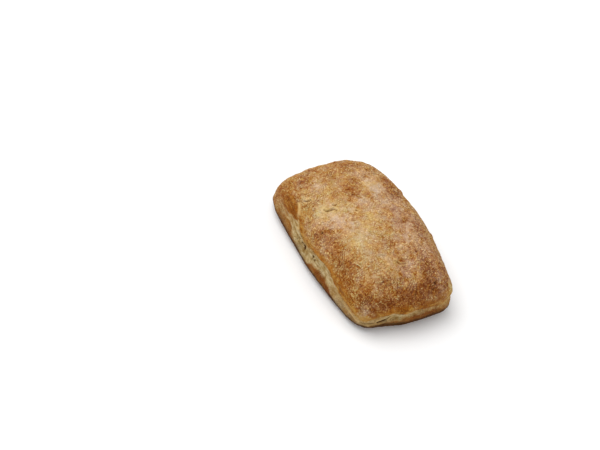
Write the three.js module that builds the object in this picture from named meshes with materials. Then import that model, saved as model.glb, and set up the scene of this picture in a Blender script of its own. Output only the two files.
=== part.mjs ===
// Ciabatta: a small oblong wheat roll, domed on top and flat underneath. Its floury brown
// crust has torn open along the sides, so a pale strip of crumb runs round most of the roll
// between the brown lip at the foot and the rolled edge of the top crust.
//
// Millimetres, +Z up. The roll lies on its flat base with its length along X, and the
// origin is the middle of that base.

import * as THREE from "three";
import { SimplexNoise } from "three/addons/math/SimplexNoise.js";
import { mergeVertices } from "three/addons/utils/BufferGeometryUtils.js";

// ---- Driving dimensions -------------------------------------------------------------

const HALF_LENGTH = 62.5; // before the ends bow out
const HALF_WIDTH = 39; // before the long sides bow out
const HEIGHT = 43.2; // of the smooth dome, before its swells

// Plan: a rounded oblong, a little skewed, whose four sides bow outwards.
const CORNER_POWER = 8; // squareness of the plan at the sides
const CROWN_POWER = 3; // squareness of the contours near the top of the dome
const CROWN_BLEND_REACH = 0.95; // share of the plan where the full squareness is reached
const BOW = { front: 4.2, back: 4.8, left: 4.8, right: 4.2 }; // +X, -X, +Y and -Y sides
const LENGTH_TAPER = 0.03; // the +Y side is longer than the -Y side
const WIDTH_TAPER = -0.056; // the +X end is narrower than the -X end
const SKEW = 0.076;
const CORNER_STRETCH = [
  { x: 1, y: 1, share: 0.011 },
  { x: -1, y: 1, share: -0.034 },
  { x: -1, y: -1, share: 0.012 },
  { x: 1, y: -1, share: 0.002 },
];

// Upright section: a tuck under the foot, the widest line at the belly, then the dome.
const BELLY_HEIGHT = 9;
const TUCK = 0.12; // share of the plan by which the base is smaller
const TUCK_POWER = 3.5;
const SHOULDER_POWER = 2.7;
const DOME_POWER = 3.2;

// Torn strip round the side. A bearing of 0 degrees is the middle of the +X end, and 90
// the middle of the +Y side. Heights are those of the top of the lip and of the crust edge.
const STRIP_STATIONS = [
  { bearing: -150, lip: 15, edge: 30, depth: 0.2 },
  { bearing: -128, lip: 15, edge: 29.5, depth: 0.8 },
  { bearing: -112, lip: 12, edge: 27, depth: 1.8 },
  { bearing: -103, lip: 7.4, edge: 21.5, depth: 2.3 },
  { bearing: -96, lip: 7.4, edge: 22.2, depth: 2.4 },
  { bearing: -84, lip: 11.5, edge: 24, depth: 2 },
  { bearing: -70, lip: 12.6, edge: 24.6, depth: 1.9 },
  { bearing: -58, lip: 6.8, edge: 22.4, depth: 2 },
  { bearing: -44, lip: 6.8, edge: 14, depth: 1 },
  { bearing: -30, lip: 9.5, edge: 17, depth: 1.3 },
  { bearing: -14, lip: 10.8, edge: 20.5, depth: 1.7 },
  { bearing: 10, lip: 13.2, edge: 20, depth: 1.4 },
  { bearing: 38, lip: 13.5, edge: 20.5, depth: 0.8 },
  { bearing: 75, lip: 12.5, edge: 25, depth: 1.8 },
  { bearing: 102, lip: 10.5, edge: 23.5, depth: 2.2 },
  { bearing: 126, lip: 14, edge: 27, depth: 1 },
  { bearing: 155, lip: 15.5, edge: 29.5, depth: 0.2 },
];
const STRIP_LOWER_RAMP = 2.4; // height over which the strip sinks in above the lip
const STRIP_UPPER_RAMP = 2; // height over which it comes out again under the crust
const CRUST_ROLL = 0.9; // how far the rolled crust edge stands out
const CRUST_ROLL_RISE = 1.6; // height of the roll's middle above the crust edge
const CRUST_ROLL_SPREAD = 2.2;
const LIP_SWELL = 0.5; // how far the lip at the foot stands out
const LIP_SWELL_SPREAD = 3.4;

// Uneven top: broad swells (positive) and hollows (negative), heights in millimetres.
const CROWN_LUMPS = [
  { x: 0, y: -2, radius: 36, height: 1.5 }, // the risen middle
  { x: 8, y: -11, radius: 14, height: 0.5 }, // the ridge along it
  { x: 27, y: -17, radius: 9, height: 0.5 },
  { x: -7, y: -26, radius: 8, height: -0.9 }, // the floury hollow beside it
  { x: -31, y: -33, radius: 6, height: -1.1 }, // the hollow under the torn flake
  { x: -46, y: -30, radius: 9, height: 0.7 },
  { x: -34, y: 16, radius: 15, height: 0.8 },
  { x: -14, y: 27, radius: 12, height: -0.8 },
  { x: 20, y: 22, radius: 12, height: 0.7 },
  { x: 39, y: 7, radius: 7, height: -0.9 },
  { x: 50, y: -14, radius: 9, height: 0.6 },
  { x: 57, y: 23, radius: 6, height: -0.6 },
  { x: -54, y: 4, radius: 9, height: -0.7 },
];

// Splits (negative) and folds (positive) of the top crust, each from one point to another.
const CROWN_CREASES = [
  { from: [-15, -27.5], to: [-14, -23], width: 1.7, height: -0.9 },
  { from: [-14, -23], to: [-11.5, -17.5], width: 1.7, height: -0.9 },
  { from: [-34, -35], to: [-30, -31], width: 1.6, height: -0.8 },
  { from: [-31, -37], to: [-25, -40], width: 1.6, height: 0.6 },
  { from: [37, 1.5], to: [41, 8], width: 1.6, height: -0.5 },
  { from: [-7.5, -10], to: [-6.5, -5], width: 1.5, height: -0.5 },
  { from: [-19.5, -25], to: [-18, -21], width: 1.8, height: 0.6 },
];

// Unevenness of the whole crust: the size of its lumps and how far they stand out.
const CRUST_LUMPS = [
  { size: 17, height: 0.4 },
  { size: 9, height: 0.28 },
  { size: 5.5, height: 0.2 },
];
const LUMP_SEED = 7;
const LUMPS_UPRIGHT_FROM = 22; // above this height the lumps rise more than they stand out

// Folds on the side, from one bearing and height to another.
const SIDE_FOLDS = [
  { from: [-61, 13.4], to: [-50, 10.4], width: 1.5, height: 0.7 },
  { from: [-50, 10.4], to: [-42, 7.4], width: 1.5, height: 0.7 },
  { from: [-31, 10.2], to: [-21, 13.8], width: 1.5, height: -0.8 },
];
const SIDE_FOLD_DEGREE = 0.75; // millimetres along the side for one degree of bearing

// Slow waves round the foot and side, so that no side is dead straight.
const SIDE_WAVES = [
  { turns: 5, phase: 0.7, height: 0.35 },
  { turns: 9, phase: 2.1, height: 0.25 },
  { turns: 14, phase: 4.4, height: 0.15 },
];

// Cells of the surface grid.
const CELLS_LONG = 56;
const CELLS_WIDE = 38;
const ROWS_LIP = 4;
const ROWS_STRIP = 6;
const ROWS_CRUST = 8;
const CELLS_HIGH = ROWS_LIP + ROWS_STRIP + ROWS_CRUST;
const LIP_ROW_SPACING = 1.4; // above 1, the rows crowd towards the tuck at the foot
const RIM_HEIGHT = 36; // where the side rows end and the grid of the top begins

const CRUST_COLOUR = 0xb5854f;
const CRUST_ROUGHNESS = 0.85;

// ---- Small helpers ------------------------------------------------------------------

const { clamp, lerp, smoothstep, degToRad, radToDeg } = THREE.MathUtils;

function bell(distance, spread) {
  return Math.exp(-((distance / spread) ** 2));
}

function distanceToStretch(x, y, [fromX, fromY], [toX, toY]) {
  const alongX = toX - fromX;
  const alongY = toY - fromY;
  const gone = (x - fromX) * alongX + (y - fromY) * alongY;
  const share = clamp(gone / (alongX ** 2 + alongY ** 2), 0, 1);
  return Math.hypot(x - fromX - share * alongX, y - fromY - share * alongY);
}

// ---- Plan ---------------------------------------------------------------------------

// Moves a point of the unit square's edge onto a rounded square of the given power.
function roundedSquare(u, v, power) {
  const size = (Math.abs(u) ** power + Math.abs(v) ** power) ** (1 / power);
  return [u / size, v / size];
}

function cornerStretch(endward, sideward) {
  let stretch = 1;
  for (const corner of CORNER_STRETCH) {
    const nearness = Math.max(0, corner.x * endward) * Math.max(0, corner.y * sideward);
    stretch += 4 * corner.share * nearness ** 2;
  }
  return stretch;
}

// The plan outline in millimetres, for a point (endward, sideward) of the rounded square.
function planOutline(endward, sideward) {
  const stretch = cornerStretch(endward, sideward);
  const endBow = endward > 0 ? BOW.front : -BOW.back;
  const sideBow = sideward > 0 ? BOW.left : -BOW.right;
  const x =
    HALF_LENGTH * endward * (1 + LENGTH_TAPER * sideward) * stretch +
    endBow * endward ** 2 * (1 - sideward ** 2) ** 2;
  const y =
    HALF_WIDTH * sideward * (1 + WIDTH_TAPER * endward) * stretch +
    sideBow * sideward ** 2 * (1 - endward ** 2) ** 2;
  return [x, y + SKEW * x];
}

// ---- Upright section ----------------------------------------------------------------

// Share of the plan outline that the roll reaches at a height.
function reachAt(height) {
  if (height < BELLY_HEIGHT) {
    return 1 - TUCK * (1 - height / BELLY_HEIGHT) ** TUCK_POWER;
  }
  const rise = (height - BELLY_HEIGHT) / (HEIGHT - BELLY_HEIGHT);
  return (1 - rise ** SHOULDER_POWER) ** (1 / DOME_POWER);
}

// Height of the dome at a share of the plan outline.
function heightAt(reach) {
  const rise = (1 - reach ** DOME_POWER) ** (1 / SHOULDER_POWER);
  return BELLY_HEIGHT + (HEIGHT - BELLY_HEIGHT) * rise;
}

// ---- Torn strip ---------------------------------------------------------------------

// Lip height, crust edge height and depth of the strip at a bearing in degrees.
function stripAt(bearing) {
  const count = STRIP_STATIONS.length;
  const next = STRIP_STATIONS.findIndex((station) => station.bearing > bearing);
  const after = next < 0 ? 0 : next;
  const before = (after + count - 1) % count;
  const from = STRIP_STATIONS[before];
  const to = STRIP_STATIONS[after];
  const span = (to.bearing - from.bearing + 360) % 360;
  const gone = (bearing - from.bearing + 360) % 360;
  const share = smoothstep(gone / span, 0, 1);
  return {
    lip: lerp(from.lip, to.lip, share),
    edge: lerp(from.edge, to.edge, share),
    depth: lerp(from.depth, to.depth, share),
  };
}

// How far the side stands out of (positive) or in from its smooth section.
function sideRelief(height, bearing, strip) {
  const entered = smoothstep(height, strip.lip - 0.4, strip.lip + STRIP_LOWER_RAMP);
  const left = smoothstep(height, strip.edge - STRIP_UPPER_RAMP, strip.edge + 0.4);
  const torn = clamp(strip.depth, 0, 1);
  const roll = CRUST_ROLL * torn * bell(height - strip.edge - CRUST_ROLL_RISE, CRUST_ROLL_SPREAD);
  const swell = LIP_SWELL * torn * bell(height - strip.lip / 2, LIP_SWELL_SPREAD);
  let wave = 0;
  for (const { turns, phase, height: size } of SIDE_WAVES) {
    wave += size * Math.sin(turns * degToRad(bearing) + phase);
  }
  const held = smoothstep(height, 0, BELLY_HEIGHT) * (1 - smoothstep(height, RIM_HEIGHT, HEIGHT));
  let fold = 0;
  const along = bearing * SIDE_FOLD_DEGREE;
  for (const { from, to, width, height: size } of SIDE_FOLDS) {
    const start = [from[0] * SIDE_FOLD_DEGREE, from[1]];
    const end = [to[0] * SIDE_FOLD_DEGREE, to[1]];
    fold += size * bell(distanceToStretch(along, height, start, end), width);
  }
  return roll + swell + fold + wave * held - strip.depth * entered * (1 - left);
}

// ---- Top ----------------------------------------------------------------------------

function crownRelief(x, y) {
  let relief = 0;
  for (const lump of CROWN_LUMPS) {
    relief += lump.height * bell(Math.hypot(x - lump.x, y - lump.y), lump.radius);
  }
  for (const crease of CROWN_CREASES) {
    const distance = distanceToStretch(x, y, crease.from, crease.to);
    relief += crease.height * bell(distance, crease.width);
  }
  return relief;
}

// ---- Lumps of the crust -------------------------------------------------------------

const lumpNoise = new SimplexNoise({
  state: LUMP_SEED,
  random() {
    this.state = (this.state * 16807) % 2147483647;
    return this.state / 2147483647;
  },
});

function crustLumps(x, y, z) {
  let relief = 0;
  for (const { size, height } of CRUST_LUMPS) {
    relief += height * lumpNoise.noise3d(x / size, y / size, z / size);
  }
  return relief;
}

// ---- Surface ------------------------------------------------------------------------

// Height of a side row, where share runs from 0 at the foot to 1 at the rim. Whole rows
// follow the two edges of the strip round the roll.
function rowHeight(share, strip) {
  const row = share * CELLS_HIGH;
  if (row <= ROWS_LIP) {
    return strip.lip * (row / ROWS_LIP) ** LIP_ROW_SPACING;
  }
  if (row <= ROWS_LIP + ROWS_STRIP) {
    return lerp(strip.lip, strip.edge, (row - ROWS_LIP) / ROWS_STRIP);
  }
  return lerp(strip.edge, RIM_HEIGHT, (row - ROWS_LIP - ROWS_STRIP) / ROWS_CRUST);
}

// Moves a point of the two-unit cube onto the roll.
function rollPoint(cube, target) {
  const ring = Math.max(Math.abs(cube.x), Math.abs(cube.y));
  const u = ring > 0 ? cube.x / ring : 1;
  const v = ring > 0 ? cube.y / ring : 0;
  const bearing = radToDeg(Math.atan2(v, u));
  const strip = stripAt(bearing);

  let height = rowHeight((cube.z + 1) / 2, strip);
  let reach = reachAt(height);
  if (cube.z === 1) {
    reach = reachAt(RIM_HEIGHT) * ring;
    height = heightAt(reach);
  } else if (cube.z === -1) {
    reach = reachAt(0) * ring;
    height = 0;
  }

  const blend = smoothstep(reach, 0, CROWN_BLEND_REACH);
  const [endward, sideward] = roundedSquare(u, v, lerp(CROWN_POWER, CORNER_POWER, blend));
  const [x, y] = planOutline(endward, sideward);
  const relief = ring > 0 ? sideRelief(height, bearing, strip) : 0;
  const reachedX = x * reach;
  const reachedY = y * reach;
  const lumps = crustLumps(reachedX, reachedY, height) * smoothstep(height, 0, BELLY_HEIGHT);
  const upright = smoothstep(height, LUMPS_UPRIGHT_FROM, HEIGHT);
  const outward = 1 + ((relief + lumps * (1 - upright)) * reach) / Math.hypot(x, y);
  const rise = crownRelief(reachedX, reachedY) * smoothstep(height, BELLY_HEIGHT, HEIGHT);
  target.set(reachedX * outward, reachedY * outward, height + rise + lumps * upright);
}

// The cells of the two-unit cube, its underside closed by a fan from the middle.
function cubeCells() {
  const cube = new THREE.BoxGeometry(2, 2, 2, CELLS_LONG, CELLS_WIDE, CELLS_HIGH);
  cube.deleteAttribute("normal");
  cube.deleteAttribute("uv");
  const underside = cube.groups.at(-1);
  cube.setIndex([...cube.index.array].slice(0, underside.start));
  const open = mergeVertices(cube);
  const position = open.attributes.position;
  const foot = [];
  for (let i = 0; i < position.count; i++) {
    if (position.getZ(i) === -1) {
      foot.push({ index: i, bearing: Math.atan2(position.getY(i), position.getX(i)) });
    }
  }
  foot.sort((first, second) => first.bearing - second.bearing);
  const faces = [...open.index.array];
  const middle = position.count;
  for (let k = 0; k < foot.length; k++) {
    faces.push(middle, foot[(k + 1) % foot.length].index, foot[k].index);
  }
  const closed = new THREE.BufferGeometry();
  closed.setAttribute("position", new THREE.Float32BufferAttribute([...position.array, 0, 0, -1], 3));
  closed.setIndex(faces);
  return closed;
}

function rollGeometry() {
  const geometry = cubeCells();
  const position = geometry.attributes.position;
  const corner = new THREE.Vector3();
  const moved = new THREE.Vector3();
  for (let i = 0; i < position.count; i++) {
    corner.fromBufferAttribute(position, i);
    rollPoint(corner, moved);
    position.setXYZ(i, moved.x, moved.y, moved.z);
  }
  geometry.computeBoundingBox();
  const centre = geometry.boundingBox.getCenter(new THREE.Vector3());
  geometry.translate(-centre.x, -centre.y, 0);
  geometry.computeVertexNormals();
  return geometry;
}

// ---- The roll -----------------------------------------------------------------------

const crust = new THREE.MeshStandardMaterial({
  color: CRUST_COLOUR,
  roughness: CRUST_ROUGHNESS,
  metalness: 0,
});

const roll = new THREE.Mesh(rollGeometry(), crust);
roll.name = "bread_roll";

const ciabatta = new THREE.Group();
ciabatta.name = "ciabatta";
ciabatta.add(roll);

export default ciabatta;
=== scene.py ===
"""A ciabatta roll on a pale floor: one floury, domed wheat roll with a torn strip round its side.

Lengths are in millimetres until a mesh is made; Blender's own units are metres. The form
follows the solid roll of the frame, with the finer crust, crumb and flour on top of it.
"""

import math
from typing import NamedTuple

import bpy
import numpy as np
from mathutils import Matrix, Vector


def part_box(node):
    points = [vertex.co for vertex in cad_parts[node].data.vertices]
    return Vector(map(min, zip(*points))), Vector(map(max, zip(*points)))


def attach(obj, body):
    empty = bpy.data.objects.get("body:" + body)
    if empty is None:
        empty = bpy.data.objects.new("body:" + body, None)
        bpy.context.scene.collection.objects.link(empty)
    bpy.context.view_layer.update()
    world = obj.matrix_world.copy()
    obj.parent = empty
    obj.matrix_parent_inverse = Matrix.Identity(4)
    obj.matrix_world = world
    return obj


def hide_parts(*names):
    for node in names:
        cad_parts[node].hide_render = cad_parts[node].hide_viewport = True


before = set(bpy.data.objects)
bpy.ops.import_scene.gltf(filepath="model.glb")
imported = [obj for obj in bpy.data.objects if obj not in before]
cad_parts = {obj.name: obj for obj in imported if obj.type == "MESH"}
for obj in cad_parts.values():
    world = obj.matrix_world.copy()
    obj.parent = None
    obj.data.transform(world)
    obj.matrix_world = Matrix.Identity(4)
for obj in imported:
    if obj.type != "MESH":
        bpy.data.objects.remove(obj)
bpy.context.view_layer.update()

MM = 0.001
NODE = "bread_roll"

# ---- The form of the solid roll, in millimetres --------------------

# Before the ends and the long sides bow out, and before the dome swells.
HALF_LENGTH = 62.5
HALF_WIDTH = 39.0
HEIGHT = 43.2

# Plan: a rounded oblong, a little skewed, whose four sides bow outwards.
CORNER_POWER = 8.0
CROWN_POWER = 3.0
CROWN_BLEND_REACH = 0.95
BOW_FRONT, BOW_BACK, BOW_LEFT, BOW_RIGHT = 4.2, 4.8, 4.8, 4.2
LENGTH_TAPER = 0.03
WIDTH_TAPER = -0.056
SKEW = 0.076
# Towards +X or -X, towards +Y or -Y, and how strongly the corner there reaches out.
CORNER_STRETCH = [(1, 1, 0.011), (-1, 1, -0.034), (-1, -1, 0.012), (1, -1, 0.002)]

# Upright section: a tuck under the foot, the widest line at the belly, then the dome.
BELLY_HEIGHT = 9.0
TUCK = 0.12
TUCK_POWER = 3.5
SHOULDER_POWER = 2.7
DOME_POWER = 3.2

# The torn strip round the side. Bearing in degrees, where 0 is the middle of the +X end and
# 90 that of the +Y side, then height of the lip, height of the crust edge, depth of the strip.
STRIP_STATIONS = np.array([
    (-150, 15, 30, 0.2),
    (-128, 15, 29.5, 0.8),
    (-112, 12, 27, 1.8),
    (-103, 7.4, 21.5, 2.3),
    (-96, 7.4, 22.2, 2.4),
    (-84, 11.5, 24, 2),
    (-70, 12.6, 24.6, 1.9),
    (-58, 6.8, 22.4, 2),
    (-44, 6.8, 14, 1),
    (-30, 9.5, 17, 1.3),
    (-14, 10.8, 20.5, 1.7),
    (10, 13.2, 20, 1.4),
    (38, 13.5, 20.5, 0.8),
    (75, 12.5, 25, 1.8),
    (102, 10.5, 23.5, 2.2),
    (126, 14, 27, 1),
    (155, 15.5, 29.5, 0.2),
])
# Bearing, heights from which and up to which crumb shows, and how plainly it does.
CRUMB_STATIONS = np.array([
    (-150, 15, 20, 0),
    (-132, 14, 19, 0.1),
    (-122, 14, 20, 0.35),
    (-117, 16, 22, 0.7),
    (-112, 12.5, 23, 0.95),
    (-107, 8, 17.5, 1),
    (-102, 6, 14.8, 1),
    (-96, 6, 15.8, 1),
    (-90, 7.3, 18.6, 1),
    (-84, 11.5, 20.3, 1),
    (-78, 13, 23.2, 1),
    (-72, 12.7, 22.8, 1),
    (-67, 11.5, 19.5, 0.9),
    (-63, 7, 16.8, 0.75),
    (-57, 5, 14.4, 0.6),
    (-51, 4.5, 13, 0.5),
    (-46, 4.5, 10.6, 0.45),
    (-40, 6, 10.4, 0.45),
    (-33, 9.5, 14.3, 0.6),
    (-24, 9.5, 17.5, 0.9),
    (-14, 11, 16, 1),
    (-4, 12.8, 15.2, 0.9),
    (8, 13.2, 17.2, 0.8),
    (18, 13.4, 16, 0.6),
    (30, 12.9, 15.4, 0.35),
    (45, 14, 18, 0.1),
    (58, 14.5, 18, 0.45),
    (66, 12.5, 21, 0.9),
    (74, 11.5, 22, 1),
    (80, 12.5, 19.5, 1),
    (91, 9, 18, 1),
    (96, 10.5, 21, 1),
    (104, 8, 19.5, 0.9),
    (109, 8.5, 16.5, 0.9),
    (118, 12.5, 20, 0.7),
    (129, 15, 21.5, 0.5),
    (140, 17, 21, 0.2),
    (155, 15, 21, 0),
])
# Bearing, and the height up to which the foot is scorched and darkened with painted contact shade.
FOOT_STATIONS = np.array([
    (-150, 7),
    (-120, 8),
    (-100, 7),
    (-60, 6.8),
    (-48, 6),
    (-38, 7.2),
    (-25, 8.6),
    (0, 9),
    (40, 8.6),
    (75, 6),
    (165, 6),
])
# Fades are how far a change runs below and above its height.
STRIP_LOWER_FADE = (0.4, 2.0)
STRIP_UPPER_FADE = (1.3, 0.4)
LIP_WANDER = 1.1
EDGE_WANDER = 0.8
CRUST_ROLL = 0.9
CRUST_ROLL_RISE = 1.4
CRUST_ROLL_SPREAD = 2.0
LIP_SWELL = 0.5
LIP_SWELL_SPREAD = 3.4

# x, y, radius and height of the broad swells and hollows of the top.
CROWN_LUMPS = [
    (0, -2, 36, 1.5),
    (8, -11, 14, 0.5),
    (27, -17, 9, 0.5),
    (-7, -26, 8, -0.9),
    (-31, -33, 6, -1.1),
    (-46, -30, 9, 0.7),
    (-34, 16, 15, 0.8),
    (-14, 27, 12, -0.8),
    (20, 22, 12, 0.7),
    (39, 7, 7, -0.9),
    (50, -14, 9, 0.6),
    (57, 23, 6, -0.6),
    (-54, 4, 9, -0.7),
]
# Waves round the side: how many, their phase and their height.
SIDE_WAVES = [(5, 0.7, 0.35), (9, 2.1, 0.25), (14, 4.4, 0.15)]

# Where the side's cells end and the cap's begin.
RIM_HEIGHT = 36.0

# ---- Cells of the fine surface -------------------------------------

CELLS_LONG = 176
CELLS_WIDE = 118
ROWS_LIP = 16
ROWS_STRIP = 22
ROWS_CRUST = 28
LIP_ROW_SPACING = 1.4

# ---- Camera, as the photograph sees the roll -----------------------

LENS_MM = 85.0
SENSOR_MM = 36.0
IMAGE_WIDTH_PX = 600
CAMERA_AZIMUTH = 54.36
CAMERA_ELEVATION = 52.26
CAMERA_TURN = 15.09
CAMERA_DISTANCE_MM = 988.9
AIM_HEIGHT_MM = 20.0
AIM_RIGHT_PX = 64.0
AIM_DOWN_PX = 12.0

# ---- Light and floor, in metres and watts --------------------------

SOFTBOX_DIRECTION = (-0.38, -0.22, 0.90)
SOFTBOX_DISTANCE = 1.3
SOFTBOX_SIZE = 1.1
SOFTBOX_WATTS = 11.0
SKY_STRENGTH = 0.78
FLOOR_HALF_SIZE = 3.0
FLOOR_TINT = (0.9, 0.9, 0.9, 1.0)
FLOOR_ROUGHNESS = 0.9


# ---- Numbers -------------------------------------------------------

def smooth(value, low, high):
    """0 below low, 1 above high, and an even S between them."""
    share = np.clip((value - low) / (high - low), 0.0, 1.0)
    return share * share * (3.0 - 2.0 * share)


def across(value, edge, fade):
    """0 below an edge and 1 above it; fade is how far the change runs below and above."""
    return smooth(value, edge - fade[0], edge + fade[1])


def bell(distance, spread):
    return np.exp(-((distance / spread) ** 2))


def dome(away):
    """1 in the middle, falling smoothly to 0 where away is 1."""
    return np.clip(1.0 - away ** 2, 0.0, 1.0) ** 2


def mix(first, second, share):
    return first + (second - first) * share


# Brings the sum of the corners' slopes to about -1 to 1.
NOISE_GAIN = 1.7


def cell_random(cell, seed):
    """A repeatable number from 0 to 1 for each whole-number cell, by an integer hash."""
    mixed = cell[..., 0] * 73856093 ^ cell[..., 1] * 19349663 ^ cell[..., 2] * 83492791
    mixed = (mixed ^ (seed * 2654435761)) & 0xFFFFFFFF
    mixed = ((mixed ^ (mixed >> 15)) * 2246822519) & 0xFFFFFFFF
    mixed = ((mixed ^ (mixed >> 13)) * 3266489917) & 0xFFFFFFFF
    return (mixed ^ (mixed >> 16)) / float(0xFFFFFFFF)


def corner_slopes(cell, seed):
    """A repeatable direction for each cell corner."""
    return np.stack([cell_random(cell, seed + k) * 2.0 - 1.0 for k in (11, 23, 37)], -1)


def noise(points, size, seed):
    """Smooth noise from about -1 to 1 whose lumps are about size millimetres apart."""
    scaled = points / size
    cell = np.floor(scaled).astype(np.int64)
    inside = scaled - cell
    fade = inside ** 3 * (inside * (inside * 6.0 - 15.0) + 10.0)
    total = np.zeros(len(points))
    for corner in np.ndindex(2, 2, 2):
        offset = np.array(corner)
        slope = corner_slopes(cell + offset, seed)
        weight = np.prod(np.where(offset == 1, fade, 1.0 - fade), -1)
        total += weight * np.sum(slope * (inside - offset), -1)
    return total * NOISE_GAIN


def fractal(points, size, octaves, seed):
    """Noise with finer and weaker noise laid over it."""
    total = np.zeros(len(points))
    for octave in range(octaves):
        finer = 2.0 ** octave
        total += noise(points, size / finer, seed + 101 * octave) / finer
    return total


def scattered(points, size, seed):
    """Distance to the nearest of points scattered about size apart, and its own number."""
    scaled = points / size
    cell = np.floor(scaled).astype(np.int64)
    nearest = np.full(len(points), np.inf)
    number = np.zeros(len(points))
    for offset in np.ndindex(3, 3, 3):
        other = cell + np.array(offset) - 1
        spot = other + np.stack([cell_random(other, seed + k) for k in (3, 5, 7)], -1)
        distance = np.linalg.norm(scaled - spot, axis=-1)
        closer = distance < nearest
        nearest = np.where(closer, distance, nearest)
        number = np.where(closer, cell_random(other, seed + 13), number)
    return nearest * size, number


class Strewn(NamedTuple):
    """Marks strewn over a surface, whose radii and heights run from the first to the last."""

    spacing: float
    radii: tuple
    heights: tuple
    empty_share: float
    seed: int

    def nearest(self, points):
        """Distance to the nearest mark as a share of its radius, and the mark's height."""
        distance, number = scattered(points, self.spacing, self.seed)
        height = mix(*self.heights, number) * (number > self.empty_share)
        return distance / mix(*self.radii, number), height


# ---- The smooth roll -----------------------------------------------

def rounded_square(u, v, power):
    """Points of the square's edge moved onto a rounded square of the given power."""
    size = (np.abs(u) ** power + np.abs(v) ** power) ** (1.0 / power)
    return u / size, v / size


def corner_stretch(endward, sideward):
    stretch = np.ones_like(endward)
    for corner_x, corner_y, share in CORNER_STRETCH:
        nearness = np.maximum(0, corner_x * endward) * np.maximum(0, corner_y * sideward)
        stretch += 4.0 * share * nearness ** 2
    return stretch


def plan_outline(endward, sideward):
    """The outline for a point of the rounded square, from -1 to 1 along each side."""
    stretch = corner_stretch(endward, sideward)
    end_bow = np.where(endward > 0, BOW_FRONT, -BOW_BACK)
    side_bow = np.where(sideward > 0, BOW_LEFT, -BOW_RIGHT)
    x = HALF_LENGTH * endward * (1.0 + LENGTH_TAPER * sideward) * stretch
    x += end_bow * endward ** 2 * (1.0 - sideward ** 2) ** 2
    y = HALF_WIDTH * sideward * (1.0 + WIDTH_TAPER * endward) * stretch
    y += side_bow * sideward ** 2 * (1.0 - endward ** 2) ** 2
    return x, y + SKEW * x


def reach_at(height):
    """Share of the plan outline that the roll reaches at a height."""
    below = 1.0 - TUCK * np.maximum(0.0, 1.0 - height / BELLY_HEIGHT) ** TUCK_POWER
    rise = np.clip((height - BELLY_HEIGHT) / (HEIGHT - BELLY_HEIGHT), 0.0, 1.0)
    above = (1.0 - rise ** SHOULDER_POWER) ** (1.0 / DOME_POWER)
    return np.where(height < BELLY_HEIGHT, below, above)


def height_at(reach):
    """Height of the dome at a share of the plan outline."""
    rise = (1.0 - reach ** DOME_POWER) ** (1.0 / SHOULDER_POWER)
    return BELLY_HEIGHT + (HEIGHT - BELLY_HEIGHT) * rise


def stations_at(stations, bearing):
    """The stations' values at bearings in degrees, eased from each station to the next."""
    turn = np.zeros((1, stations.shape[1]))
    turn[0, 0] = 360.0
    stations = np.concatenate([stations[-1:] - turn, stations, stations[:1] + turn])
    place = np.searchsorted(stations[:, 0], bearing, side="right") - 1
    place = np.clip(place, 0, len(stations) - 2)
    start, end = stations[place], stations[place + 1]
    share = smooth(bearing, start[:, 0], end[:, 0])[:, None]
    return mix(start[:, 1:], end[:, 1:], share).T


def crown_relief(x, y):
    relief = np.zeros_like(x)
    for lump_x, lump_y, radius, height in CROWN_LUMPS:
        relief += height * bell(np.hypot(x - lump_x, y - lump_y), radius)
    return relief


def side_relief(height, bearing, lip, edge, depth):
    """How far the side stands out of its smooth section or, below 0, in from it."""
    entered = across(height, lip, STRIP_LOWER_FADE)
    left = across(height, edge, STRIP_UPPER_FADE)
    torn = np.clip(depth, 0.0, 1.0)
    roll = CRUST_ROLL * torn * bell(height - edge - CRUST_ROLL_RISE, CRUST_ROLL_SPREAD)
    swell = LIP_SWELL * torn * bell(height - lip / 2.0, LIP_SWELL_SPREAD)
    wave = np.zeros_like(height)
    for turns, phase, size in SIDE_WAVES:
        wave += size * np.sin(turns * np.radians(bearing) + phase)
    held = smooth(height, 0.0, BELLY_HEIGHT) * (1.0 - smooth(height, RIM_HEIGHT, HEIGHT))
    return roll + swell + wave * held - depth * entered * (1.0 - left)


# ---- Crust, crumb and flour: where each lies on the roll -----------

CRUMB_FRAY = 0.6
CRUMB_LOW_FADE = (0.9, 1.5)
CRUMB_HIGH_FADE = (1.1, 1.1)
BAND_ABOVE_EDGE = 2.8
BAND_WANDER = 1.8
BAND_TOP_FADE = (1.6, 3.0)

FOOT_WANDER = 0.6
FOOT_FADE = 4.0
# The foot's line of scorch and painted contact shade.
SCORCH_SHADE_BELOW_TOP = 1.5
SCORCH_SHADE_SPREAD = 2.0

# The crust wrinkles towards its edge, an oval of these half sizes.
WRINKLED_LENGTH = 62.0
WRINKLED_WIDTH = 40.0

# Flour where there is no patch, and how strongly patches change it. Browning is 0.5 there,
# and no sum of patches takes it further from that than the swing.
FLOUR_ALL_OVER = 0.38
FLOUR_GAIN = 1.25
BROWNING_SWING = 0.42
PATCH_WANDER = 1.6
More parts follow.
